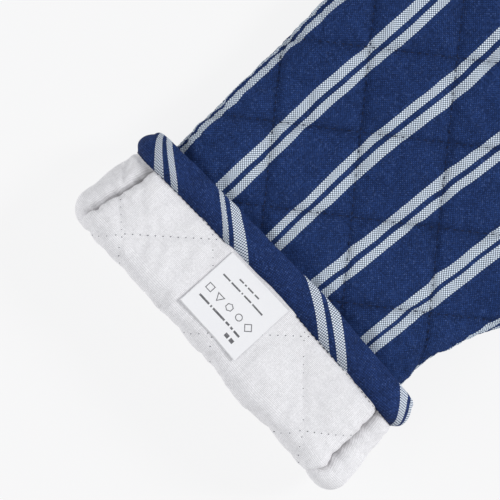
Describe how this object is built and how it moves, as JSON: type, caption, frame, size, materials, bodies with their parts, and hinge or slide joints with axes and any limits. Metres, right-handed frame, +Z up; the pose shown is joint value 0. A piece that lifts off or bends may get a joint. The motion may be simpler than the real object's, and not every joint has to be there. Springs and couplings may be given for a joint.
{
  "type": "oven mitt",
  "caption": "Quilted navy striped oven mitt lying palm down, its cuff turned back to show white lining, a bound edge and a hinged care label.",
  "frame": {"origin": "middle of the bounding box's base, on the surface that the mitt lies on", "axes": "+Y from the cuff to the fingertips, +Z up from the surface through the back panel, +X towards the thumb"},
  "size_m": [0.2036, 0.2724, 0.0461],
  "materials": {
    "striped_cloth": "plain woven cotton, navy with paired pale stripes along the mitt",
    "striped_binding": "the same cloth cut on the bias",
    "white_cloth": "plain woven white cotton",
    "batting": "fibre fill, hidden inside",
    "label": "woven satin ribbon",
    "navy_thread": "spun sewing thread",
    "white_thread": "spun sewing thread"
  },
  "bodies": {
    "mitt": {"back_outer_panel": "striped_cloth", "palm_outer_panel": "striped_cloth", "back_batting": "batting", "palm_batting": "batting", "back_lining": "white_cloth", "palm_lining": "white_cloth", "cuff_binding": "striped_binding", "side_seam_thread": "navy_thread", "lining_seam_thread": "white_thread", "binding_seam_thread": "navy_thread", "back_quilting_thread": "navy_thread", "palm_quilting_thread": "navy_thread"},
    "label": {"care_label": "label"}
  },
  "joints": [
    {"name": "care_label_flap", "type": "hinge", "parent": "mitt", "child": "label", "pos_m": [-0.01869, -0.09402, 0.04105], "axis": [-1, 0, 0], "range_deg": [0, 110]}
  ]
}
